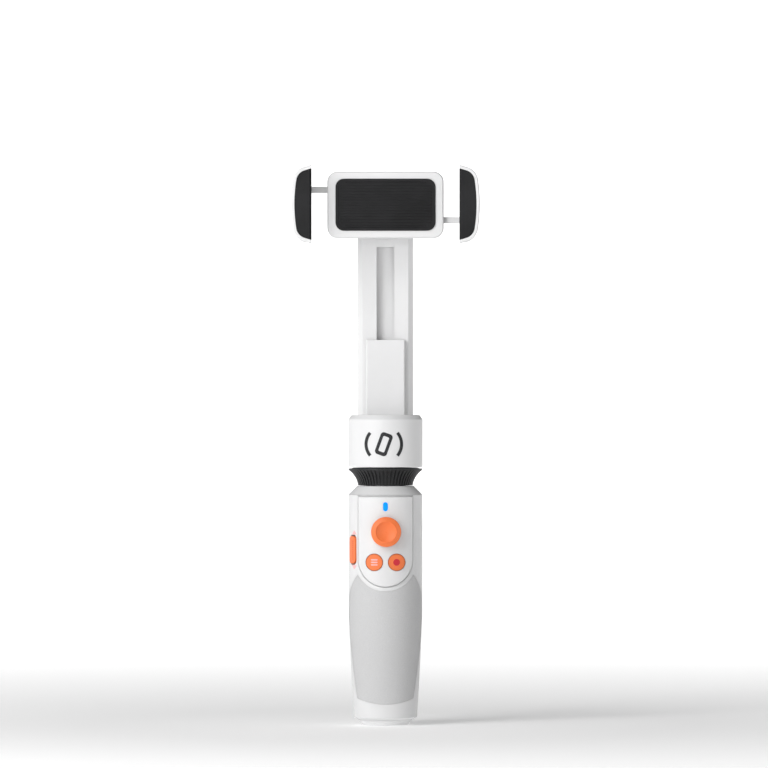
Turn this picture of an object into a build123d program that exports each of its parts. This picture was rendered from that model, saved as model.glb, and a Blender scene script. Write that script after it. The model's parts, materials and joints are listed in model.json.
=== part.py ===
from build123d import *
import math
import os

# Hand-held phone gimbal. Millimetres, +Z up the handle, the keys face -Y.
# Origin: centre of the tripod socket's mouth, in the middle of the base.

# ---- handle ----
grip_r = 17.7            # radius of the upper handle
wall = 2.3               # shell wall
foot_r = 15.2            # radius at the bottom corner
foot_z = 3.7
waist_z = 52.0           # the handle is straight above this height
shell_top = 110.5
bevel_top = 114.7        # top of the bevelled cap
bevel_r = 13.6
insert_hole_r = 2.55     # 1/4 inch, 20 threads per inch: minor radius
insert_len = 9.5

# ---- controls ----
panel_r = 18.6           # outer radius of the raised key panel
panel_edge = (0.7, 1.6)   # bevel round the panel: into its thickness, across its face
panel_half = 13.2
panel_seat_r = 16.9
panel_arc_z = 79.5       # centre of the panel's round lower end
panel_top = 110.2
stick_x = 0.3            # joystick centre
stick_z = 93.0
stick_pivot_y = -11.4
key_z = 78.4             # height of the two round keys
key_x = 5.35
key_r = 3.9
key_gap = 0.3            # all round each key
key_face_r = 19.0
led_z = 105.0
rocker_z = 84.2
rocker_angle = 208.5       # direction of the zoom rocker around the handle
rocker_pivot_r = 13.6
board_y = -7.8           # front face of the two circuit boards

# ---- extension rod: outer radius of each tube, from the handle out ----
rod_radii = [5.3, 4.6, 3.9, 3.2]
rod_wall = 0.4
rod_low = 13.0
bush_len = 10.0

# ---- pan stage ----
collar_low = 115.0
disc_top = 123.5
pan_low = 123.85
pan_top = 148.8
pan_r = 17.9
pan_wall = 1.6
rail_face = 16.0         # flat on the back of the pan housing
rail_half = 9.45
rail_top = 185.0

# ---- arm ----
arm_half = 13.45
arm_low = 146.0
arm_front = 20.0
arm_back = 26.2
arm_join = 230.0         # the beam meets the roll motor case here

# ---- roll stage and clamp ----
roll_z = 249.8
case_r = 16.5
case_front = 9.0
body_half_x = 28.0
body_half_z = 16.0
bar_y = (-1.0, 3.4)      # thickness of the rack bars
rack_module = 0.8
pinion_teeth = 12
pitch_r = rack_module * pinion_teeth / 2
rod_offset = 11.0        # guide rods above and below the roll axis

# ---- jaws, right-hand one, measured from the roll axis ----
lip_x = 35.4
contact_x = 38.95
jaw_x = 45.3
jaw_half = 18.95
lip_front = -15.5
lip_back = -12.3
slot_back = -4.3
jaw_back = 5.5
rim = 1.7

os.makedirs("parts", exist_ok=True)


def write(builder, name):
    """Label a finished piece and write it as its own STEP file."""
    builder.part.label = name
    export_step(builder.part, f"parts/{name}.step")


def ring(name, low, high, outer, inner):
    """A plain round tube about Z."""
    with BuildPart() as tube:
        with BuildSketch(Plane.XY.offset(low)):
            Circle(outer)
            Circle(inner, mode=Mode.SUBTRACT)
        extrude(amount=high - low)
    write(tube, name)


def block(x, y, z, mode=Mode.ADD):
    """A box between pairs of coordinates, inside the current part."""
    with Locations(((x[0] + x[1]) / 2, (y[0] + y[1]) / 2, (z[0] + z[1]) / 2)):
        return Box(x[1] - x[0], y[1] - y[0], z[1] - z[0], mode=mode)


def front_plane(y=0.0, x=0.0, z=0.0):
    """Plane facing the user: local x is +X, local y is +Z, normal is -Y."""
    return Plane(origin=(x, y, z), x_dir=(1, 0, 0), z_dir=(0, -1, 0))


def keep_inside(radius):
    """Trim the current part to a cylinder about Z."""
    Cylinder(radius, 200, align=(Align.CENTER, Align.CENTER, Align.MIN), mode=Mode.INTERSECT)


# =====================================================================
# Handle shells
# =====================================================================
def handle_skin(depth_out, depth_in, low, high):
    """Ring that follows the handle's outline, between two depths under its surface."""
    def line_points(depth):
        return (foot_r - depth, foot_z), (16.8 - depth, 31.0), (grip_r - depth, waist_z)

    with BuildPart() as skin:
        with BuildSketch(Plane.XZ):
            with BuildLine():
                a, b, c = line_points(depth_out)
                d, e, f = line_points(depth_in)
                ThreePointArc(a, b, c)
                Line(c, (grip_r - depth_out, shell_top))
                Line((grip_r - depth_out, shell_top), (grip_r - depth_in, shell_top))
                Line((grip_r - depth_in, shell_top), f)
                ThreePointArc(f, e, d)
                Line(d, a)
            make_face()
        revolve(axis=Axis.Z)
        with BuildSketch(Plane.XY.offset(low)):
            Circle(40)
        extrude(amount=high - low, mode=Mode.INTERSECT)
    return skin.part


def panel_outline():
    """The key panel seen from the front: straight sides and a round lower end."""
    low_point = (0, panel_arc_z - panel_half)
    with BuildSketch(Plane.XY) as outline:
        with BuildLine():
            Line((panel_half, panel_arc_z), (panel_half, panel_top))
            Line((panel_half, panel_top), (-panel_half, panel_top))
            Line((-panel_half, panel_top), (-panel_half, panel_arc_z))
            ThreePointArc((-panel_half, panel_arc_z), low_point, (panel_half, panel_arc_z))
        make_face()
    return outline.sketch


def pad_outline():
    """The grip pad seen from the front: two horns beside the panel, a narrower round foot."""
    horn_r = 15.1
    horn = (13.3, panel_arc_z - math.sqrt(horn_r**2 - 13.3**2))
    with BuildSketch(Plane.XY) as outline:
        with BuildLine():
            ThreePointArc((-horn[0], horn[1]), (0, panel_arc_z - horn_r), horn)
            for side in (1, -1):
                ThreePointArc((side * horn[0], horn[1]), (side * 16.2, 67.0), (side * 17.3, 60.0))
                Line((side * 17.3, 60.0), (side * 17.3, 52.0))
                ThreePointArc((side * 17.3, 52.0), (side * 15.7, 30.0), (side * 13.4, 13.0))
            ThreePointArc((-13.4, 13.0), (0, 10.3), (13.4, 13.0))
        make_face()
        fillet(outline.vertices().group_by(Axis.Y)[1], 5.0)
    return outline.sketch


bosses = [(-11.0, 28.0), (11.0, 28.0), (-11.0, 102.0), (11.0, 102.0)]
foot_screws = PolarLocations(9.2, 3, start_angle=30)
u_dir = Vector(math.cos(math.radians(rocker_angle)), math.sin(math.radians(rocker_angle)), 0)
t_dir = Vector(-u_dir.Y, u_dir.X, 0)
rocker_plane = Plane(origin=(0, 0, rocker_z), x_dir=t_dir, z_dir=u_dir)
pin_plane = Plane(origin=u_dir * rocker_pivot_r + Vector(0, 0, rocker_z), x_dir=(0, 0, 1), z_dir=t_dir)

with BuildPart() as shell:
    add(handle_skin(0, wall, 3.0, shell_top))
    # turned-in foot and the floor that takes the base screws
    with BuildSketch(Plane.XZ):
        Polygon((12.7, 2.6), (13.6, 2.6), (foot_r, foot_z), (foot_r - 0.4, 4.4), (12.7, 4.4), align=None)
    revolve(axis=Axis.Z)
    with BuildSketch(Plane.XY.offset(5.6)):
        Circle(14.2)
        Circle(7.2, mode=Mode.SUBTRACT)
    extrude(amount=3)
    with BuildSketch(Plane.XY.offset(5.0)):
        with foot_screws:
            Circle(0.95)
    extrude(amount=5, mode=Mode.SUBTRACT)

with BuildPart() as panel_seat:
    add(handle_skin(-2, grip_r - panel_seat_r, 60.0, shell_top))
    with BuildSketch(front_plane()):
        add(panel_outline())
        offset(amount=0.08)
    extrude(amount=30, mode=Mode.INTERSECT)

with BuildPart() as pad_seat:
    add(handle_skin(-2, 0.85, 4.0, shell_top))
    with BuildSketch(front_plane(-0.2)):
        add(pad_outline())
        offset(amount=0.08)
    extrude(amount=30, mode=Mode.INTERSECT)

with BuildPart() as handle_front_shell:
    add(shell.part)
    with BuildSketch(front_plane()):
        with Locations(*bosses):
            Circle(2.4)
    extrude(amount=10.5)
    with BuildSketch(rocker_plane.offset(12.4)):
        with Locations((3.9, 0), (-3.9, 0)):
            Rectangle(1.4, 4.0)
    extrude(amount=3.6)
    split(bisect_by=Plane.XZ, keep=Keep.TOP)
    add(panel_seat.part, mode=Mode.SUBTRACT)
    add(pad_seat.part, mode=Mode.SUBTRACT)
    # openings for the joystick, the round keys, the light and the rocker
    with BuildSketch(front_plane(-10)):
        with Locations((stick_x, stick_z)):
            Circle(6.0)
        with Locations((-key_x, key_z), (key_x, key_z)):
            Circle(4.95)
        with Locations((0, led_z)):
            SlotOverall(4.4, 2.4, rotation=90)
    extrude(amount=12, mode=Mode.SUBTRACT)
    with BuildSketch(rocker_plane.offset(14.6)):
        RectangleRounded(6.1, 14.4, 2.2)
    extrude(amount=5, mode=Mode.SUBTRACT)
    with BuildSketch(pin_plane.offset(-6)):
        Circle(0.77)
    extrude(amount=12, mode=Mode.SUBTRACT)
    with BuildSketch(front_plane()):
        with Locations(*bosses):
            Circle(1.0)
    extrude(amount=7, mode=Mode.SUBTRACT)
write(handle_front_shell, "handle_front_shell")

with BuildPart() as handle_rear_shell:
    add(shell.part)
    with BuildSketch(front_plane()):
        with Locations(*bosses):
            Circle(2.4)
    extrude(amount=-10.5)
    split(bisect_by=Plane.XZ, keep=Keep.BOTTOM)
    with BuildSketch(front_plane()):
        with Locations(*bosses):
            Circle(1.1)
    extrude(amount=-20, mode=Mode.SUBTRACT)
    with BuildSketch(front_plane(9.0)):
        with Locations(*bosses):
            Circle(2.1)
    extrude(amount=-12, mode=Mode.SUBTRACT)
    # charging socket on the right-hand side
    with BuildSketch(Plane.YZ.offset(12.0)):
        with Locations((4.8, 88.5)):
            RectangleRounded(3.5, 9.4, 1.6)
    extrude(amount=8, mode=Mode.SUBTRACT)
write(handle_rear_shell, "handle_rear_shell")

with BuildPart() as shell_screws:
    for x, z in bosses:
        with BuildSketch(front_plane(9.05, x, z)):
            Circle(1.9)
        extrude(amount=-1.5)
        with BuildSketch(front_plane(9.05, x, z)):
            Circle(0.95)
        extrude(amount=15)
        with BuildSketch(front_plane(10.55, x, z)):
            RegularPolygon(0.9, 6)
        extrude(amount=0.8, mode=Mode.SUBTRACT)
write(shell_screws, "shell_screws")

# =====================================================================
# Handle ends
# =====================================================================
with BuildPart() as top_cap:
    with BuildSketch(Plane.XZ):
        Polygon(
            (6.05, 107.5), (15.3, 107.5), (15.3, 110.6), (grip_r, 110.6), (bevel_r, bevel_top),
            (5.7, bevel_top), (5.7, 112.1), (6.05, 112.1), align=None,
        )
    revolve(axis=Axis.Z)
write(top_cap, "top_cap")

with BuildPart() as base_cap:
    with BuildSketch(Plane.XZ):
        with BuildLine():
            Polyline((13.3, 2.5), (12.4, 2.5), (12.4, 5.5), (5.2, 5.5), (5.2, 0), (11.0, 0), (11.4, 0.3))
            ThreePointArc((11.4, 0.3), (12.0, 1.6), (13.3, 2.5))
        make_face()
    revolve(axis=Axis.Z)
    with BuildSketch(Plane.XY):
        with foot_screws:
            Circle(1.95)
    extrude(amount=1.7, mode=Mode.SUBTRACT)
    with BuildSketch(Plane.XY):
        with foot_screws:
            Circle(1.1)
    extrude(amount=6, mode=Mode.SUBTRACT)
write(base_cap, "base_cap")

with BuildPart() as base_screws:
    with BuildSketch(Plane.XY.offset(0.4)):
        with foot_screws:
            Circle(1.8)
    extrude(amount=1.3)
    with BuildSketch(Plane.XY.offset(1.7)):
        with foot_screws:
            Circle(0.9)
    extrude(amount=6.6)
    with BuildSketch(Plane.XY.offset(0.4)):
        with foot_screws:
            RegularPolygon(0.9, 6)
    extrude(amount=0.7, mode=Mode.SUBTRACT)
write(base_screws, "base_screws")

with BuildPart() as tripod_insert:
    with BuildSketch(Plane.XY):
        Circle(5.15)
    extrude(amount=insert_len)
    with BuildSketch(Plane.XY.offset(5.55)):
        Circle(6.6)
    extrude(amount=1.2)
    with BuildSketch(Plane.XY):
        Circle(insert_hole_r)
    extrude(amount=8.0, mode=Mode.SUBTRACT)
write(tripod_insert, "tripod_insert")

# =====================================================================
# Key panel, grip pad and light
# =====================================================================
with BuildPart() as control_panel:
    with BuildSketch(Plane.XY.offset(60)):
        Circle(panel_r)
        Circle(panel_seat_r + 0.05, mode=Mode.SUBTRACT)
    extrude(amount=60)
    with BuildSketch(front_plane()):
        add(panel_outline())
    extrude(amount=30, mode=Mode.INTERSECT)
    front_face = control_panel.faces().sort_by(Axis.Y)[0]
    chamfer(front_face.outer_wire().edges(), *panel_edge, reference=front_face)
    with BuildSketch(front_plane()):
        with Locations((stick_x, stick_z)):
            Circle(4.5)
        with Locations((-key_x, key_z), (key_x, key_z)):
            Circle(key_r + key_gap)
        with Locations((0, led_z)):
            SlotOverall(4.4, 2.4, rotation=90)
    extrude(amount=30, mode=Mode.SUBTRACT)
write(control_panel, "control_panel")

with BuildPart() as grip_pad:
    add(handle_skin(0, 0.8, 4.0, shell_top))
    with BuildSketch(front_plane(-0.3)):
        add(pad_outline())
    extrude(amount=30, mode=Mode.INTERSECT)
write(grip_pad, "grip_pad")

with BuildPart() as status_led_lens:
    with BuildSketch(front_plane(-13.0, 0, led_z)):
        SlotOverall(4.3, 2.3, rotation=90)
    extrude(amount=8)
    keep_inside(panel_r + 0.05)
write(status_led_lens, "status_led_lens")

# =====================================================================
# Round keys, joystick and zoom rocker
# =====================================================================
def round_key(name, x):
    """A key cap that follows the panel's curve, with a flange behind it and a stem to its switch."""
    with BuildPart() as key:
        with BuildSketch(front_plane(-12.4, x, key_z)):
            Circle(key_r)
        extrude(amount=10)
        keep_inside(key_face_r)
        with BuildSketch(front_plane(-12.4, x, key_z)):
            Circle(4.7)
        extrude(amount=1.0)
        with BuildSketch(front_plane(-9.0, x, key_z)):
            Circle(1.5)
        extrude(amount=3.4)
    write(key, name)


def key_mark(name, draw):
    """A thin mark on the curved face of a key."""
    with BuildPart() as mark:
        with BuildSketch(front_plane(-10)):
            draw()
        extrude(amount=12)
        keep_inside(key_face_r + 0.1)
        with BuildSketch(Plane.XY.offset(60)):
            Circle(key_face_r + 0.01)
        extrude(amount=60, mode=Mode.SUBTRACT)
    write(mark, name)


def menu_bars():
    with Locations(*[(-key_x, key_z + step) for step in (-1.2, 0, 1.2)]):
        RectangleRounded(3.2, 0.6, 0.29)


def record_spot():
    with Locations((key_x, key_z)):
        Circle(1.6)


round_key("mode_button", -key_x)
round_key("record_button", key_x)
key_mark("mode_icon", menu_bars)
key_mark("record_dot", record_spot)

stick_plane = front_plane(stick_pivot_y, stick_x, stick_z)

with BuildPart() as joystick_module:
    with BuildSketch(front_plane(board_y, stick_x, stick_z)):
        RectangleRounded(13.2, 13.2, 0.8)
    extrude(amount=5.8)
    with BuildSketch(front_plane(-8.8, stick_x, stick_z)):
        Circle(5.4)
    extrude(amount=5, mode=Mode.SUBTRACT)
    with BuildSketch(Plane.YZ.offset(stick_x - 7)):
        with Locations((stick_pivot_y, stick_z)):
            Circle(0.85)
    extrude(amount=14, mode=Mode.SUBTRACT)
write(joystick_module, "joystick_module")

with BuildPart() as joystick_yoke:
    with BuildSketch(stick_plane.offset(-1.0)):
        Circle(4.7)
    extrude(amount=2.0)
    with BuildSketch(Plane.YZ.offset(stick_x - 6.4)):
        with Locations((stick_pivot_y, stick_z)):
            Circle(0.8)
    extrude(amount=12.8)
    with BuildSketch(stick_plane.offset(-1.0)):
        Circle(3.3)
    extrude(amount=2.0, mode=Mode.SUBTRACT)
    with BuildSketch(Plane.XY.offset(stick_z - 6)):
        with Locations((stick_x, stick_pivot_y)):
            Circle(0.65)
    extrude(amount=12, mode=Mode.SUBTRACT)
write(joystick_yoke, "joystick_yoke")

with BuildPart() as joystick_stick:
    with Locations((stick_x, stick_pivot_y, stick_z)):
        Sphere(2.3)
    with BuildSketch(stick_plane):
        Circle(1.6)
    extrude(amount=9.7)
    with BuildSketch(Plane.XY.offset(stick_z - 4.5)):
        with Locations((stick_x, stick_pivot_y)):
            Circle(0.6)
    extrude(amount=9.0)
write(joystick_stick, "joystick_stick")

# the cap is a low cone with a thumb dish sunk in its top
dish_edge_r = 4.7
dish_edge_y = -22.75
dish_r = 9.5
dish_half = math.degrees(math.asin(dish_edge_r / dish_r))
dish_y = dish_edge_y - math.sqrt(dish_r**2 - dish_edge_r**2)

with BuildPart() as joystick_cap:
    with BuildSketch(Plane(origin=(stick_x, 0, stick_z), z_dir=(0, 0, 1))):
        with BuildLine():
            Polyline((0, -21.15), (1.62, -21.15), (1.62, -20.6), (5.0, -20.6), (7.2, -21.0), (7.2, -21.7))
            ThreePointArc((7.2, -21.7), (7.05, -22.1), (6.7, -22.3))
            Line((6.7, -22.3), (dish_edge_r + 0.5, -23.0))
            ThreePointArc((dish_edge_r + 0.5, -23.0), (dish_edge_r + 0.15, -22.98), (dish_edge_r, dish_edge_y))
            dish = CenterArc((0, dish_y), dish_r, 90 - dish_half, dish_half)
            Line(dish @ 1, (0, -21.15))
        make_face()
    revolve(axis=Axis((stick_x, 0, stick_z), (0, 1, 0)))
write(joystick_cap, "joystick_cap")

with BuildPart() as zoom_rocker:
    with BuildSketch(rocker_plane.offset(14.7)):
        RectangleRounded(5.6, 13.0, 2.0)
    extrude(amount=5)
    keep_inside(grip_r + 0.6)
    with BuildSketch(rocker_plane.offset(12.6)):
        Rectangle(5.6, 3.6)
    extrude(amount=2.4)
    with BuildSketch(pin_plane.offset(-6)):
        Circle(0.8)
    extrude(amount=12, mode=Mode.SUBTRACT)
write(zoom_rocker, "zoom_rocker")

with BuildPart() as rocker_pin:
    with BuildSketch(pin_plane.offset(-4.5)):
        Circle(0.75)
    extrude(amount=9.0)
write(rocker_pin, "rocker_pin")

# =====================================================================
# Electronics
# =====================================================================
with BuildPart() as control_board:
    block((-8.4, 8.4), (board_y, board_y + 1.0), (70, 107))
write(control_board, "control_board")

with BuildPart() as main_board:
    block((-8.4, 8.4), (board_y, board_y + 1.0), (14, 66))
    block((-3.5, 3.5), (board_y - 1.0, board_y), (40, 47))
    block((-5.0, 1.0), (board_y - 1.2, board_y), (24, 30))
write(main_board, "main_board")

with BuildPart() as tact_switches:
    for side in (-1, 1):
        block((side * key_x - 2.2, side * key_x + 2.2), (board_y - 0.6, board_y), (key_z - 2.2, key_z + 2.2))
write(tact_switches, "tact_switches")

with BuildPart() as battery_cell:
    block((-8.0, 8.0), (6.6, 12.6), (32, 100))
    fillet(battery_cell.edges().filter_by(Axis.Z), 1.5)
write(battery_cell, "battery_cell")

with BuildPart() as usb_port:
    with BuildSketch(Plane.YZ.offset(10.0)):
        with Locations((4.8, 88.5)):
            RectangleRounded(3.2, 9.0, 1.5)
    extrude(amount=6.7)
    with BuildSketch(Plane.YZ.offset(11.2)):
        with Locations((4.8, 88.5)):
            RectangleRounded(2.6, 8.4, 1.25)
            Rectangle(0.7, 6.6, mode=Mode.SUBTRACT)
    extrude(amount=6, mode=Mode.SUBTRACT)
write(usb_port, "usb_port")

# =====================================================================
# Extension rod
# =====================================================================
ring("rod_sleeve", 11.0, 112.0, 6.0, 5.6)
ring("sleeve_bush", 102.0, 112.0, 5.58, rod_radii[0] + 0.05)
for number, outer in enumerate(rod_radii[:3], start=1):
    tube_top = 113.1 + 0.3 * number
    inner = outer - rod_wall
    ring(f"rod_tube_{number}", rod_low, tube_top, outer, inner)
    ring(f"rod_bush_{number}", tube_top - bush_len, tube_top, inner - 0.02, rod_radii[number] + 0.05)
ring("rod_tube_4", rod_low, 121.0, rod_radii[3], rod_radii[3] - 0.5)

# =====================================================================
# Pan stage: collar on the rod, motor, housing
# =====================================================================
with BuildPart() as groove:
    with BuildSketch(Plane.XZ):
        with BuildLine():
            ThreePointArc((12.65, 114.8), (14.25, 119.5), (17.3, 122.5))
            Polyline((17.3, 122.5), (19.0, 122.5), (19.0, 114.8), (12.65, 114.8))
        make_face()
    extrude(amount=0.36, both=True)

with BuildPart() as collar_grip:
    with BuildSketch(Plane.XZ):
        with BuildLine():
            Polyline(
                (17.8, 122.4), (17.8, 123.1), (16.2, 123.1), (16.2, 122.2), (3.22, 122.2),
                (3.22, collar_low), (13.1, collar_low),
            )
            ThreePointArc((13.1, collar_low), (14.75, 119.3), (17.8, 122.4))
        make_face()
    revolve(axis=Axis.Z)
    # finger ribs: narrow grooves cut in the cone
    with PolarLocations(0, 54):
        add(groove.part, mode=Mode.SUBTRACT)
write(collar_grip, "collar_grip")

ring("collar_disc", 122.25, disc_top, 16.1, 2.0)


def motor_stator(name, base):
    """Bearing tube and twelve-slot laminated ring, standing on a plane."""
    with BuildPart() as stator:
        with BuildSketch(base):
            Circle(6.3)
        extrude(amount=13.6)
        with BuildSketch(base.offset(3.0)):
            Circle(11.7)
            with PolarLocations(9.2, 12):
                Rectangle(3.6, 1.8, mode=Mode.SUBTRACT)
        extrude(amount=9.6)
        with BuildSketch(base):
            Circle(4.92)
        extrude(amount=13.6, mode=Mode.SUBTRACT)
    write(stator, name)


def motor_bearings(name, base):
    """The pair of ball bearings, drawn as rings."""
    with BuildPart() as bearings:
        for height in (0.4, 10.2):
            with BuildSketch(base.offset(height)):
                Circle(4.9)
                Circle(2.53, mode=Mode.SUBTRACT)
            extrude(amount=3.0)
    write(bearings, name)


def motor_rotor(base, boss):
    """Magnet bell with its end disc, and a boss of the given height on top."""
    with BuildPart() as rotor:
        with BuildSketch(base.offset(2.0)):
            Circle(14.3)
            Circle(12.3, mode=Mode.SUBTRACT)
        extrude(amount=13.7)
        with BuildSketch(base.offset(14.1)):
            Circle(14.3)
        extrude(amount=1.6)
        if boss:
            with BuildSketch(base.offset(15.7)):
                Circle(8.0)
            extrude(amount=boss)
    return rotor


pan_base = Plane.XY.offset(disc_top)
pan_boss = pan_top - 2.0 - disc_top - 15.7
motor_stator("pan_stator", pan_base)
motor_bearings("pan_bearings", pan_base)

with BuildPart() as pan_rotor:
    add(motor_rotor(pan_base, pan_boss).part)
    with BuildSketch(pan_base):
        Circle(2.52)
    extrude(amount=40, mode=Mode.SUBTRACT)
write(pan_rotor, "pan_rotor")

ring("pan_shaft", disc_top + 0.4, pan_top - 2.0, 2.5, 1.5)

with BuildPart() as pan_housing:
    with BuildSketch(Plane.XZ):
        Polygon(
            (pan_r, pan_low), (pan_r, pan_top - 2.1), (pan_r - 1.5, pan_top), (0, pan_top),
            (0, pan_top - 2.0), (pan_r - pan_wall, pan_top - 2.0), (pan_r - pan_wall, pan_low),
            align=None,
        )
    revolve(axis=Axis.Z)
    block((-rail_half, rail_half), (14.6, rail_face), (pan_low, pan_top - 2.0))
    block((-20, 20), (rail_face, 20), (120, 150), mode=Mode.SUBTRACT)
    with BuildSketch(front_plane(14.0)):
        with Locations((0, 129), (0, 142)):
            Circle(0.97)
    extrude(amount=-4, mode=Mode.SUBTRACT)
write(pan_housing, "pan_housing")

with BuildPart() as housing_emblem:
    # a plain pictogram: a tilted phone between two turning arcs
    with BuildSketch(front_plane(-10, -0.8, 134.9)):
        RectangleRounded(6.0, 11.0, 1.6, rotation=-20)
        RectangleRounded(3.0, 7.6, 0.6, rotation=-20, mode=Mode.SUBTRACT)
        with BuildLine():
            CenterArc((0, 0), 8.5, -40, 80)
            CenterArc((0, 0), 8.5, 140, 80)
        trace(line_width=1.5)
    extrude(amount=12)
    keep_inside(pan_r + 0.1)
    with BuildSketch(Plane.XY.offset(120)):
        Circle(pan_r + 0.01)
    extrude(amount=30, mode=Mode.SUBTRACT)
write(housing_emblem, "housing_emblem")

with BuildPart() as arm_rail:
    with BuildSketch(Plane.XY.offset(124.2)):
        Polygon(
            (-rail_half, rail_face), (rail_half, rail_face), (rail_half, 19.6), (4.0, 19.6),
            (4.0, 22.3), (7.5, 22.3), (7.5, 24.1), (-7.5, 24.1), (-7.5, 22.3), (-4.0, 22.3),
            (-4.0, 19.6), (-rail_half, 19.6), align=None,
        )
    extrude(amount=rail_top - 124.2)
    with BuildSketch(front_plane(24.1)):
        with Locations((0, 129), (0, 142)):
            Circle(1.95)
    extrude(amount=1.3, mode=Mode.SUBTRACT)
    with BuildSketch(front_plane(24.1)):
        with Locations((0, 129), (0, 142)):
            Circle(1.0)
    extrude(amount=10, mode=Mode.SUBTRACT)
    front_edges = arm_rail.edges().filter_by(Axis.Z).group_by(Axis.Y)[0]
    chamfer(front_edges, 0.6)
write(arm_rail, "arm_rail")

with BuildPart() as rail_screws:
    for z in (129, 142):
        with BuildSketch(front_plane(24.0, 0, z)):
            Circle(1.85)
        extrude(amount=1.2)
        with BuildSketch(front_plane(22.8, 0, z)):
            Circle(0.95)
        extrude(amount=8.0)
        with BuildSketch(front_plane(24.0, 0, z)):
            RegularPolygon(0.9, 6)
        extrude(amount=0.7, mode=Mode.SUBTRACT)
write(rail_screws, "rail_screws")

# =====================================================================
# Arm
# =====================================================================
with BuildPart() as arm_beam:
    with BuildSketch(Plane.XY.offset(arm_low)):
        Polygon(
            (-arm_half, arm_front + 2.4), (-arm_half + 2.4, arm_front), (-4.3, arm_front),
            (-4.3, 22.0), (-7.8, 22.0), (-7.8, 24.4), (7.8, 24.4), (7.8, 22.0), (4.3, 22.0),
            (4.3, arm_front), (arm_half - 2.4, arm_front), (arm_half, arm_front + 2.4),
            (arm_half, arm_back), (-arm_half, arm_back), align=None,
        )
    extrude(amount=arm_join - arm_low)
    back_edges = arm_beam.edges().filter_by(Axis.Z).group_by(Axis.Y)[-1]
    fillet(back_edges, 1.6)
write(arm_beam, "arm_beam")

with BuildPart() as arm_cover:
    with BuildSketch(front_plane(arm_back, 0, (arm_low + arm_join) / 2)):
        RectangleRounded(21.0, arm_join - arm_low - 8.0, 4.0)
    extrude(amount=-1.4)
    fillet(arm_cover.faces().sort_by(Axis.Y)[-1].edges(), 0.8)
write(arm_cover, "arm_cover")

roll_base = Plane(origin=(0, 24.4, roll_z), x_dir=(1, 0, 0), z_dir=(0, -1, 0))

with BuildPart() as roll_case:
    with BuildSketch(front_plane(arm_back, 0, roll_z)):
        Circle(case_r)
    extrude(amount=arm_back - case_front)
    fillet(roll_case.edges().sort_by(Axis.Y)[-1], 2.0)
    with BuildSketch(Plane.XY.offset(arm_join)) as neck:
        Polygon(
            (-arm_half, arm_front + 2.4), (-arm_half + 2.4, arm_front), (arm_half - 2.4, arm_front),
            (arm_half, arm_front + 2.4), (arm_half, arm_back), (-arm_half, arm_back), align=None,
        )
        fillet(neck.vertices().group_by(Axis.Y)[-1], 1.6)
    extrude(amount=12)
    with BuildSketch(roll_base):
        Circle(14.8)
    extrude(amount=20, mode=Mode.SUBTRACT)
write(roll_case, "roll_case")

motor_stator("roll_stator", roll_base)
motor_bearings("roll_bearings", roll_base)

# =====================================================================
# Clamp
# =====================================================================
with BuildPart() as roll_rotor:
    add(motor_rotor(roll_base, 0).part)
    with BuildSketch(roll_base.offset(0.5)):
        Circle(2.5)
    extrude(amount=14)
write(roll_rotor, "roll_rotor")

with BuildPart() as clamp_body:
    with BuildSketch(front_plane(6.0, 0, roll_z)):
        RectangleRounded(2 * body_half_x, 2 * body_half_z, 5.0)
    extrude(amount=8.0)
    fillet(clamp_body.faces().sort_by(Axis.Y)[-1].edges(), 1.2)
    with BuildSketch(front_plane(8.7, 0, roll_z)):
        Circle(16.2)
    extrude(amount=3.5)
    with BuildSketch(front_plane(4.0, 0, roll_z)):
        RectangleRounded(2 * body_half_x - 4, 2 * body_half_z - 4, 1.5)
    extrude(amount=6.0, mode=Mode.SUBTRACT)
    with BuildSketch(front_plane(4.0, 0, roll_z)):
        Circle(1.2)
    extrude(amount=5.8)
    for side in (-1, 1):
        block(
            (side * body_half_x - 3, side * body_half_x + 3), (bar_y[0] - 0.3, bar_y[1] + 0.3),
            (roll_z - side * 7.3 - 1.8, roll_z - side * 7.3 + 1.8), mode=Mode.SUBTRACT,
        )
write(clamp_body, "clamp_body")

with BuildPart() as clamp_cover:
    with BuildSketch(front_plane(-2.0, 0, roll_z)):
        RectangleRounded(2 * body_half_x, 2 * body_half_z, 5.0)
    extrude(amount=2.0)
    chamfer(clamp_cover.faces().sort_by(Axis.Y)[0].edges(), 0.6)
write(clamp_cover, "clamp_cover")

with BuildPart() as clamp_back_pad:
    with BuildSketch(front_plane(-4.0, 0, roll_z)):
        RectangleRounded(48.0, 25.0, 4.0)
    extrude(amount=0.6)
write(clamp_back_pad, "clamp_back_pad")

with BuildPart() as guide_rods:
    with BuildSketch(Plane.YZ.offset(-body_half_x + 2.05)):
        with Locations((1.2, roll_z + rod_offset), (1.2, roll_z - rod_offset)):
            Circle(1.0)
    extrude(amount=2 * body_half_x - 4.1)
write(guide_rods, "guide_rods")

with BuildPart() as clamp_spring:
    with BuildLine() as coil:
        Helix(pitch=0.5, height=1.3, radius=2.3, center=(0, 2.2, roll_z), direction=(0, 1, 0))
    with BuildSketch(Plane(origin=coil.line @ 0, z_dir=coil.line % 0)):
        Circle(0.2)
    sweep(is_frenet=True)
write(clamp_spring, "clamp_spring")


def involute_point(base_r, roll, turn):
    """Point on an involute of a circle, turned about the centre."""
    x = base_r * (math.cos(roll) + roll * math.sin(roll))
    y = base_r * (math.sin(roll) - roll * math.cos(roll))
    return (x * math.cos(turn) - y * math.sin(turn), x * math.sin(turn) + y * math.cos(turn))


pressure = math.radians(20)
backlash = 0.11
base_r = pitch_r * math.cos(pressure)
tip_r = pitch_r + rack_module
pinion_root = pitch_r - 1.2 * rack_module

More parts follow.
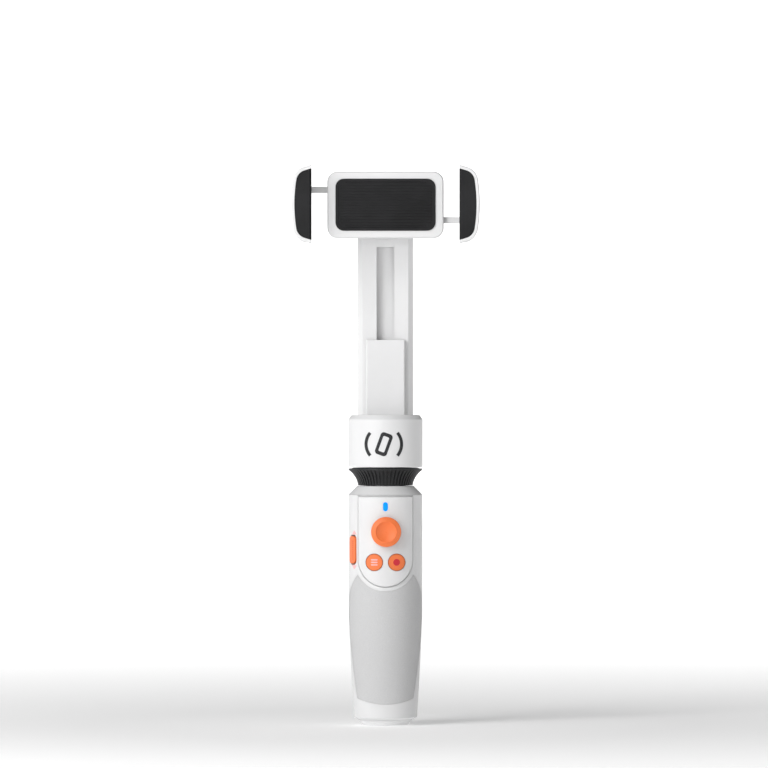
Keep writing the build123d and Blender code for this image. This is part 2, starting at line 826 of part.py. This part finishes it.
with BuildPart() as pinion:
    # half a tooth's angle at the base circle, less the backlash
    half_tooth = math.pi / pinion_teeth / 2 + math.tan(pressure) - pressure - backlash / pitch_r
    tip_roll = math.sqrt((tip_r / base_r) ** 2 - 1)
    flank = [involute_point(base_r, tip_roll * step / 5, -half_tooth) for step in range(6)]
    mirrored = [(x, -y) for x, y in reversed(flank)]
    root_y = math.sin(half_tooth) * (pinion_root - 0.2)
    with BuildSketch(front_plane(1.8, 0, roll_z)):
        Circle(pinion_root)
        with PolarLocations(0, pinion_teeth):
            Polygon((pinion_root - 0.2, -root_y), *flank, *mirrored, (pinion_root - 0.2, root_y), align=None)
        Circle(1.25, mode=Mode.SUBTRACT)
    extrude(amount=2.8)
write(pinion, "pinion")


def lip_outline(inset):
    """The D-shaped lip: straight inner edge, bowed outer side, round corners, sloping ends."""
    bow_z = 12.0
    bow_x = jaw_x - 0.95
    corner = (39.5, 17.7)
    bow_radius = (bow_z**2 + (jaw_x - bow_x) ** 2) / (2 * (jaw_x - bow_x))
    lean = math.asin(bow_z / bow_radius)
    end = (lip_x - 3, jaw_half + 0.9)
    with BuildSketch(Plane.XY) as outline:
        with BuildLine():
            ThreePointArc((bow_x, -bow_z), (jaw_x, 0), (bow_x, bow_z))
            for side in (1, -1):
                start = (bow_x, side * bow_z)
                TangentArc(start, (corner[0], side * corner[1]), tangent=(-math.sin(lean), side * math.cos(lean)))
                Line((corner[0], side * corner[1]), (end[0], side * end[1]))
            Line(end, (end[0], -end[1]))
        make_face()
        if inset:
            offset(amount=-inset)
    return outline.sketch


def pad_section():
    """Plan view of the rubber pad: front face, inner edge, back of the lip, contact wall."""
    Polygon(
        (lip_x, lip_front), (jaw_x, lip_front), (jaw_x, lip_front + 1.0), (36.6, lip_front + 1.0),
        (36.6, lip_back - 1.0), (40.2, lip_back - 1.0), (40.2, slot_back), (contact_x, slot_back),
        (contact_x, lip_back), (lip_x, lip_back), align=None,
    )


with BuildPart() as jaw_rubber:
    with BuildSketch(Plane.XY.offset(-25)):
        pad_section()
    extrude(amount=50)
    with BuildSketch(front_plane(20)):
        add(lip_outline(rim))
    extrude(amount=40, mode=Mode.INTERSECT)
    inner_edge = jaw_rubber.edges().filter_by(Axis.Z).group_by(Axis.X)[0].sort_by(Axis.Y)[0]
    chamfer(inner_edge, 1.0)

with BuildPart() as rubber_seat:
    with BuildSketch(Plane.XY.offset(-25)):
        pad_section()
    extrude(amount=50)
    with BuildSketch(front_plane(20)):
        add(lip_outline(rim - 0.03))
    extrude(amount=40, mode=Mode.INTERSECT)

rack_pitch = math.pi * rack_module
rack_line = -pitch_r
tooth_top = rack_line + 0.55
tooth_root = rack_line - 1.0
bar_bottom = tooth_root - 3.0

with BuildPart() as jaw_solid:
    with BuildSketch(front_plane(jaw_back)):
        add(lip_outline(0))
    extrude(amount=jaw_back - lip_front)
    block((0, lip_x), (-30, 30), (-30, 30), mode=Mode.SUBTRACT)
    block((0, contact_x), (lip_back, slot_back), (-30, 30), mode=Mode.SUBTRACT)
    block((0, 38.5), (slot_back - 0.01, 30), (-30, 30), mode=Mode.SUBTRACT)
    outer_edges = jaw_solid.faces().sort_by(Axis.Y)[0].edges().sort_by(Axis.X)[1:]
    fillet(outer_edges, 0.7)
    add(rubber_seat.part, mode=Mode.SUBTRACT)
    # rack bar, its sliding shoe on the guide rod, and the rack teeth
    block((-9.0, 39.0), bar_y, (bar_bottom, tooth_root))
    block((-9.0, -3.0), bar_y, (-13.2, tooth_root))
    with BuildSketch(Plane.YZ.offset(-12)):
        with Locations((1.2, -rod_offset)):
            Circle(1.06)
    extrude(amount=12, mode=Mode.SUBTRACT)
    with BuildSketch(front_plane(bar_y[1])):
        slope = math.tan(pressure)
        half_line = rack_pitch / 4 - backlash
        with Locations(*[((count + 0.5) * rack_pitch, 0) for count in range(-3, 6)]):
            Polygon(
                (-half_line - 1.0 * slope, tooth_root), (half_line + 1.0 * slope, tooth_root),
                (half_line - 0.55 * slope, tooth_top), (-half_line + 0.55 * slope, tooth_top),
                align=None,
            )
    extrude(amount=bar_y[1] - bar_y[0])

for name, turn in (("right_jaw", 0), ("left_jaw", 180)):
    with BuildPart() as jaw:
        with Locations(Location((0, 0, roll_z), (0, turn, 0))):
            add(jaw_solid.part)
    write(jaw, name)
    with BuildPart() as jaw_pad:
        with Locations(Location((0, 0, roll_z), (0, turn, 0))):
            add(jaw_rubber.part)
    write(jaw_pad, f"{name}_pad")
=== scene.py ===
import json
import math

import bmesh
import bpy
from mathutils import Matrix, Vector


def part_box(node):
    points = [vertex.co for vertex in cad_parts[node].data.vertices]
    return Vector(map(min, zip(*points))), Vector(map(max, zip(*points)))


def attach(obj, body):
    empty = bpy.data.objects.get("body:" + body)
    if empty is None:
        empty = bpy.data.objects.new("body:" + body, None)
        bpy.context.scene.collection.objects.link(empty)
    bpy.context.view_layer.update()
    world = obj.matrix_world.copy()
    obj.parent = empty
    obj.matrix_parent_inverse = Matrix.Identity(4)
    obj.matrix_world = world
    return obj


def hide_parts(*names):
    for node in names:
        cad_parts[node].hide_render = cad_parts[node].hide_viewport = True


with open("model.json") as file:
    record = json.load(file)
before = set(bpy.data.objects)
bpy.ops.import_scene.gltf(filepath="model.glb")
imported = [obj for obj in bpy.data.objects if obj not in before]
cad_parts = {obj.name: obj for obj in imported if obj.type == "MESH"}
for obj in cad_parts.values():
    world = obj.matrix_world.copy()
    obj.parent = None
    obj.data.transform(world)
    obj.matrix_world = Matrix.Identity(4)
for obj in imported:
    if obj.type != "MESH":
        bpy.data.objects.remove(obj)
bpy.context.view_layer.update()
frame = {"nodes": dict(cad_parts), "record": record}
nodes = frame["nodes"]
scene = bpy.context.scene
MM = 0.001


# ---------------------------------------------------------------- materials
def new_material(name):
    """A Principled material and the tools to extend its node tree."""
    material = bpy.data.materials.new(name)
    material.use_nodes = True
    tree = material.node_tree
    return material, tree, tree.nodes["Principled BSDF"]


def noise(tree, coordinates, scale, detail=2.0, stretch=(1, 1, 1)):
    """Noise texture in object space; scale is in features per metre."""
    mapping = tree.nodes.new("ShaderNodeMapping")
    mapping.inputs["Scale"].default_value = stretch
    tree.links.new(coordinates.outputs["Object"], mapping.inputs["Vector"])
    texture = tree.nodes.new("ShaderNodeTexNoise")
    texture.inputs["Scale"].default_value = scale
    texture.inputs["Detail"].default_value = detail
    tree.links.new(mapping.outputs["Vector"], texture.inputs["Vector"])
    return texture


def ramp(tree, source, low, high, start=0.35, end=0.65):
    """Colour ramp from low to high over the middle of a noise."""
    node = tree.nodes.new("ShaderNodeValToRGB")
    first, last = node.color_ramp.elements
    first.position, last.position = start, end
    first.color, last.color = low, high
    tree.links.new(source, node.inputs["Fac"])
    return node.outputs["Color"]


def span(tree, source, low, high):
    """Map a noise, which mostly lies between 0.3 and 0.7, onto a range."""
    node = tree.nodes.new("ShaderNodeMapRange")
    node.inputs["From Min"].default_value = 0.3
    node.inputs["From Max"].default_value = 0.7
    node.inputs["To Min"].default_value = low
    node.inputs["To Max"].default_value = high
    tree.links.new(source, node.inputs["Value"])
    return node.outputs["Result"]


def bump(tree, shader, sources):
    """Chain of bumps: each source is (height socket, strength, depth in metres)."""
    previous = None
    for height, strength, depth in sources:
        node = tree.nodes.new("ShaderNodeBump")
        node.inputs["Strength"].default_value = strength
        node.inputs["Distance"].default_value = depth
        tree.links.new(height, node.inputs["Height"])
        if previous:
            tree.links.new(previous, node.inputs["Normal"])
        previous = node.outputs["Normal"]
    tree.links.new(previous, shader.inputs["Normal"])


def shade(colour, factor):
    """The colour, lighter or darker, with alpha."""
    return tuple(min(1.0, channel * factor) for channel in colour) + (1.0,)


def moulded(name, colour, rough, grain=2600.0, depth=0.00002, strength=0.35, vary=0.03, specular=0.5):
    """Moulded plastic or rubber: faint tone drift, fine spark-eroded grain, uneven gloss."""
    material, tree, shader = new_material(name)
    place = tree.nodes.new("ShaderNodeTexCoord")
    drift = noise(tree, place, scale=60.0, detail=3.0)
    fine = noise(tree, place, scale=grain, detail=1.0)
    tone = ramp(tree, drift.outputs["Fac"], shade(colour, 1 - vary), shade(colour, 1 + vary))
    tree.links.new(tone, shader.inputs["Base Color"])
    tree.links.new(span(tree, drift.outputs["Fac"], rough - 0.04, rough + 0.05), shader.inputs["Roughness"])
    bump(tree, shader, [(fine.outputs["Fac"], strength, depth)])
    shader.inputs["Specular IOR Level"].default_value = specular
    return material


def brushed(name, colour, rough, stretch):
    """Drawn or brushed metal, with streaks along one axis."""
    material, tree, shader = new_material(name)
    place = tree.nodes.new("ShaderNodeTexCoord")
    streak = noise(tree, place, scale=900.0, detail=3.0, stretch=stretch)
    tone = ramp(tree, streak.outputs["Fac"], shade(colour, 0.82), shade(colour, 1.12))
    tree.links.new(tone, shader.inputs["Base Color"])
    tree.links.new(span(tree, streak.outputs["Fac"], rough - 0.06, rough + 0.1), shader.inputs["Roughness"])
    bump(tree, shader, [(streak.outputs["Fac"], 0.15, 0.00001)])
    shader.inputs["Metallic"].default_value = 1.0
    return material


def soft_touch(name, colour):
    """Grey grip coating: two scales of pebble, a slight sheen, and a handled, uneven gloss."""
    material, tree, shader = new_material(name)
    place = tree.nodes.new("ShaderNodeTexCoord")
    drift = noise(tree, place, scale=45.0, detail=3.0)
    pebble = tree.nodes.new("ShaderNodeTexVoronoi")
    pebble.inputs["Scale"].default_value = 1900.0
    tree.links.new(place.outputs["Object"], pebble.inputs["Vector"])
    fine = noise(tree, place, scale=5200.0, detail=1.0)
    tone = ramp(tree, fine.outputs["Fac"], shade(colour, 0.93), shade(colour, 1.07))
    tree.links.new(tone, shader.inputs["Base Color"])
    tree.links.new(span(tree, drift.outputs["Fac"], 0.62, 0.78), shader.inputs["Roughness"])
    bump(tree, shader, [(pebble.outputs["Distance"], 0.35, 0.00005), (fine.outputs["Fac"], 0.3, 0.00002)])
    shader.inputs["Sheen Weight"].default_value = 0.05
    shader.inputs["Sheen Roughness"].default_value = 0.5
    shader.inputs["Specular IOR Level"].default_value = 0.3
    return material


def glowing(name, colour, strength):
    """Milky lens lit from behind, brightest where the diffuser is thin."""
    material, tree, shader = new_material(name)
    place = tree.nodes.new("ShaderNodeTexCoord")
    drift = noise(tree, place, scale=500.0, detail=2.0)
    tone = ramp(tree, drift.outputs["Fac"], shade(colour, 0.9), shade(colour, 1.1))
    tree.links.new(tone, shader.inputs["Base Color"])
    tree.links.new(tone, shader.inputs["Emission Color"])
    shader.inputs["Emission Strength"].default_value = strength
    shader.inputs["Roughness"].default_value = 0.45
    shader.inputs["Specular IOR Level"].default_value = 0.15
    return material


looks = {
    "white_shell": moulded("white_moulding", (0.735, 0.735, 0.738), rough=0.42, vary=0.012),
    "grip_soft": soft_touch("grip_coating", (0.57, 0.57, 0.573)),
    "black_plastic": moulded("black_moulding", (0.016, 0.016, 0.017), rough=0.38, grain=3200.0, vary=0.15,
                             specular=0.3),
    "black_rubber": moulded("black_rubber_skin", (0.017, 0.017, 0.018), rough=0.66, grain=1700.0,
                            depth=0.00004, strength=0.5, vary=0.2, specular=0.18),
    "orange_plastic": moulded("orange_moulding", (0.88, 0.20, 0.058), rough=0.46, grain=3000.0, vary=0.02,
                              specular=0.35),
    "pale_mark": moulded("pale_print", (0.88, 0.50, 0.50), rough=0.5, vary=0.02),
    "red_mark": moulded("red_print", (0.60, 0.004, 0.024), rough=0.35, vary=0.04),
    "grey_mark": moulded("grey_print", (0.025, 0.025, 0.027), rough=0.55, vary=0.1, specular=0.3),
    "blue_lens": glowing("blue_light", (0.0, 0.27, 0.92), strength=0.35),
    "brass": brushed("turned_brass", (0.72, 0.52, 0.22), rough=0.3, stretch=(1, 1, 12)),
    "steel": brushed("drawn_steel", (0.62, 0.62, 0.64), rough=0.24, stretch=(4, 4, 0.05)),
    "motor_steel": brushed("motor_steel", (0.30, 0.30, 0.32), rough=0.4, stretch=(1, 1, 8)),
    "circuit_board": moulded("solder_mask", (0.02, 0.14, 0.07), rough=0.35, grain=900.0,
                             depth=0.00003, strength=0.4, vary=0.15),
    "battery_wrap": moulded("battery_film", (0.18, 0.20, 0.24), rough=0.25, grain=400.0,
                            depth=0.00005, strength=0.2, vary=0.05),
    "nylon": moulded("nylon", (0.80, 0.78, 0.70), rough=0.45, vary=0.02),
}

for entry in frame["record"]["subparts"]:
    mesh = nodes[entry["node"]].data
    mesh.materials.clear()
    mesh.materials.append(looks[entry["material_slot"]])


# ---------------------------------------------------------------- added pieces
def finish_piece(name, mesh_builder, material, body):
    """Turn a bmesh into an object with outward normals, a material and a body."""
    bmesh.ops.recalc_face_normals(mesh_builder, faces=mesh_builder.faces)
    mesh = bpy.data.meshes.new(name)
    mesh_builder.to_mesh(mesh)
    mesh_builder.free()
    mesh.materials.append(material)
    piece = bpy.data.objects.new(name, mesh)
    scene.collection.objects.link(piece)
    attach(piece, body)
    return piece


def on_round(radius, angle, across, height):
    """Point on the handle's round wall: degrees round it, mm along the arc, mm up."""
    turn = math.radians(angle) + across / radius
    return Vector((radius * math.cos(turn), radius * math.sin(turn), height)) * MM


def close_shell(builder, lower, upper):
    """Faces of a thin closed shell between two matching grids of vertices."""
    rows, columns = len(lower), len(lower[0])
    for i in range(rows - 1):
        for j in range(columns - 1):
            builder.faces.new((lower[i][j], lower[i + 1][j], lower[i + 1][j + 1], lower[i][j + 1]))
            builder.faces.new((upper[i][j], upper[i][j + 1], upper[i + 1][j + 1], upper[i + 1][j]))
    edge = [(0, j) for j in range(columns - 1)] + [(i, columns - 1) for i in range(rows - 1)]
    edge += [(rows - 1, j) for j in range(columns - 1, 0, -1)] + [(i, 0) for i in range(rows - 1, 0, -1)]
    for (i, j), (k, m) in zip(edge, edge[1:] + edge[:1]):
        builder.faces.new((lower[i][j], lower[k][m], upper[k][m], upper[i][j]))


# Sizes of the CAD pieces that the added ones sit on, in mm.
HANDLE_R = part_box("handle_front_shell")[1][0] / MM
ROCKER_LOW, ROCKER_HIGH = (corner[2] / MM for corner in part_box("zoom_rocker"))
ARROW_ANGLE, BEAD_ANGLE = 212.4, 211.2      # degrees round the handle


def zoom_arrows():
    """Two small printed arrowheads with rounded tips, just past the ends of the rocker's slot."""
    sunk, proud, clear, length, steps = 0.05, 0.06, 0.85, 1.9, 8
    half_width, taper, tip_round, least = 1.75, 0.8, 0.22, 0.05
    arrows = bmesh.new()
    for base, way in ((ROCKER_HIGH + clear, 1), (ROCKER_LOW - clear, -1)):
        layers = []
        for radius in (HANDLE_R - sunk, HANDLE_R + proud):
            grid = []
            for step in range(steps + 1):
                rise = step / steps
                half = max(half_width * (1 - rise) ** taper + tip_round * math.sqrt(1 - rise ** 6), least)
                height = base + way * length * rise
                grid.append([arrows.verts.new(on_round(radius, ARROW_ANGLE, half * side, height))
                             for side in (-1, -0.5, 0, 0.5, 1)])
            layers.append(grid)
        close_shell(arrows, *layers)
    finish_piece("zoom_arrows", arrows, looks["pale_mark"], "handle")


def rocker_beads():
    """A column of low round beads down the zoom rocker, to feel with the thumb."""
    beads = bmesh.new()
    rocker_stand, below_middle = 0.6, 0.2
    count, pitch, bead_r, proud, sunk, sides = 10, 0.94, 0.30, 0.10, 0.06, 12
    face_r = HANDLE_R + rocker_stand
    middle_z = (ROCKER_LOW + ROCKER_HIGH) / 2 - below_middle
    dome = ((1.0, -sunk), (1.0, 0.0), (0.8, 0.6 * proud), (0.45, 0.9 * proud))      # share of radius, lift
    for number in range(count):
        height = middle_z + (number - (count - 1) / 2) * pitch
        rings = []
        for share, lift in dome:
            ring = []
            for step in range(sides):
                turn = 2 * math.pi * step / sides
                across, up = share * bead_r * math.cos(turn), share * bead_r * math.sin(turn)
                ring.append(beads.verts.new(on_round(face_r + lift, BEAD_ANGLE, across, height + up)))
            rings.append(ring)
        tip = beads.verts.new(on_round(face_r + proud, BEAD_ANGLE, 0, height))
        base = beads.verts.new(on_round(face_r - sunk, BEAD_ANGLE, 0, height))
        for i in range(sides):
            j = (i + 1) % sides
            beads.faces.new((base, rings[0][j], rings[0][i]))
            for low, high in zip(rings, rings[1:]):
                beads.faces.new((low[i], low[j], high[j], high[i]))
            beads.faces.new((rings[-1][i], rings[-1][j], tip))
    material = moulded("bead_moulding", (0.62, 0.07, 0.028), rough=0.42, grain=3000.0)
    piece = finish_piece("rocker_beads", beads, material, "zoom_key")
    piece.data.shade_smooth()


def back_pad():
    """Rubber pad behind the phone: a thin rounded plate with rows of soft ribs inside a plain border."""
    low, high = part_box("clamp_back_pad")
    half_x, half_z = (high[0] - low[0]) / 2, (high[2] - low[2]) / 2
    mid_x, mid_z = (high[0] + low[0]) / 2, (high[2] + low[2]) / 2
    back, front = high[1], low[1]
    corner, least_r, border, bevel, dip = 4.0 * MM, 0.1 * MM, 1.4 * MM, 0.15 * MM, 0.35 * MM
    gap_x, gap_z = 0.5 * MM, 0.7 * MM
    rib_count, rib_half, rib_rise, rib_sunk, rib_end = 15, 0.42 * MM, 0.35 * MM, 0.02 * MM, 0.4 * MM
    blunt, full = 0.5, 0.95      # share of the rib's rise at its ends and along it
    steps = 8
    pad = bmesh.new()

    def outline(inset, y):
        points = []
        for sx, sz, start in ((1, 1, 0), (-1, 1, 90), (-1, -1, 180), (1, -1, 270)):
            for step in range(steps + 1):
                turn = math.radians(start + 90 * step / steps)
                radius = max(corner - inset, least_r)
                points.append((mid_x + sx * (half_x - corner) + radius * math.cos(turn), y,
                               mid_z + sz * (half_z - corner) + radius * math.sin(turn)))
        return [pad.verts.new(point) for point in points]

    plate = front + dip
    loops = [outline(0, back), outline(0, front + bevel), outline(bevel, front),
             outline(border - bevel, front), outline(border, front + bevel), outline(border, plate)]
    for first, second in zip(loops, loops[1:]):
        for i in range(len(first)):
            j = (i + 1) % len(first)
            pad.faces.new((first[i], first[j], second[j], second[i]))
    pad.faces.new(loops[0][::-1])
    pad.faces.new(loops[-1])
    inner_x, inner_z = half_x - border - gap_x, half_z - border - gap_z
    inner_corner = corner - border
    for number in range(rib_count):
        z = -inner_z + 2 * inner_z * number / (rib_count - 1)
        over = max(0.0, abs(z) - (inner_z - inner_corner))
        reach = inner_x - inner_corner + math.sqrt(max(inner_corner ** 2 - over ** 2, 0.0))
        rings = []
        for x, share in ((-reach, blunt), (-reach + rib_end, full), (reach - rib_end, full), (reach, blunt)):
            ring = []
            for step in range(steps + 1):
                turn = math.pi * step / steps
                ring.append(pad.verts.new((mid_x + x, plate + rib_sunk - share * rib_rise * math.sin(turn),
                                           mid_z + z + rib_half * math.cos(turn))))
            rings.append(ring)
        for first, second in zip(rings, rings[1:]):
            for i in range(steps):
                pad.faces.new((first[i], first[i + 1], second[i + 1], second[i]))
            pad.faces.new((first[-1], first[0], second[0], second[-1]))
        pad.faces.new(rings[0])
        pad.faces.new(rings[-1][::-1])
    piece = finish_piece("ribbed_back_pad", pad, looks["black_rubber"], "clamp")
    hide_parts("clamp_back_pad")


zoom_arrows()
rocker_beads()
back_pad()


# ---------------------------------------------------------------- stage, camera, light
def grey(value):
    return (value, value, value, 1)


def build_stage():
    """A pale round floor that curves up into a low wall all round; its glow is painted light, dim near the
    object as painted shade round it and brighter away from it.
    """
    floor_r, bend, top, under, sides, steps = 9.0, 0.5, 1.7, 0.0002, 96, 8
    near_painted_light, far_painted_light = 0.36, 0.97
    profile = [(radius, 0.0) for radius in (0.25, 1.0, 3.0, 6.0)]
    for step in range(steps + 1):
        angle = math.radians(90 * step / steps)
        profile.append((floor_r + bend * math.sin(angle), bend - bend * math.cos(angle)))
    profile.append((floor_r + bend, top))
    sweep = bmesh.new()
    centre = sweep.verts.new((0, 0, -under))
    rings = []
    for radius, height in profile:
        turns = [2 * math.pi * step / sides for step in range(sides)]
        rings.append([sweep.verts.new((radius * math.cos(turn), radius * math.sin(turn), height - under))
                      for turn in turns])
    for i in range(sides):
        j = (i + 1) % sides
        sweep.faces.new((centre, rings[0][i], rings[0][j]))
        for low, high in zip(rings, rings[1:]):
            sweep.faces.new((low[i], high[i], high[j], low[j]))
    mesh = bpy.data.meshes.new("studio_sweep")
    sweep.to_mesh(mesh)
    sweep.free()
    mesh.shade_smooth()
    floor = bpy.data.objects.new("studio_sweep", mesh)
    scene.collection.objects.link(floor)
    material, tree, shader = new_material("paper_sweep")
    place = tree.nodes.new("ShaderNodeTexCoord")
    tone = ramp(tree, noise(tree, place, scale=3.0).outputs["Fac"], grey(0.80), grey(0.82))
    distance = tree.nodes.new("ShaderNodeVectorMath")
    distance.operation = "LENGTH"
    tree.links.new(place.outputs["Object"], distance.inputs[0])
    # Painted light on the floor: emission dim near the object as painted shade, rising to a near-white glow
    # further out.
    painted_floor_light = ramp(tree, distance.outputs["Value"], grey(near_painted_light), grey(far_painted_light), start=0.15, end=1.0)
    tree.links.new(tone, shader.inputs["Base Color"])
    tree.links.new(painted_floor_light, shader.inputs["Emission Color"])
    shader.inputs["Roughness"].default_value = 0.9
    shader.inputs["Emission Strength"].default_value = 1.0
    mesh.materials.append(material)


def area_light(name, place, target, size, power):
    """A rectangular light facing its target; size in metres, power in watts."""
    lamp = bpy.data.lights.new(name, "AREA")
    lamp.shape = "RECTANGLE"
    lamp.size, lamp.size_y = size
    lamp.energy = power
    holder = bpy.data.objects.new(name, lamp)
    holder.location = place
    holder.rotation_euler = (Vector(target) - Vector(place)).to_track_quat("-Z", "Y").to_euler()
    scene.collection.objects.link(holder)


def build_camera():
    """A long lens, level with the middle of the object, looking along +Y."""
    lens = bpy.data.cameras.new("camera")
    lens.lens = 318.75
    lens.sensor_width = 36.0
    lens.clip_end = 60.0
    holder = bpy.data.objects.new("camera", lens)
    holder.location = (-0.0007, -3.27, 0.1637)
    holder.rotation_euler = (math.radians(90), 0, 0)
    scene.collection.objects.link(holder)
    scene.camera = holder


build_stage()
build_camera()
middle = (0, 0, 0.15)
area_light("key_left", (-1.05, -1.25, 0.85), middle, size=(0.8, 1.2), power=17.0)
area_light("top_soft", (-0.6, -0.8, 1.35), middle, size=(1.0, 1.0), power=5.5)

world = bpy.data.worlds.new("studio_air")
scene.world = world
world.use_nodes = True
world.node_tree.nodes["Background"].inputs["Color"].default_value = (1, 1, 1, 1)
world.node_tree.nodes["Background"].inputs["Strength"].default_value = 0.06
scene.view_settings.view_transform = "Standard"
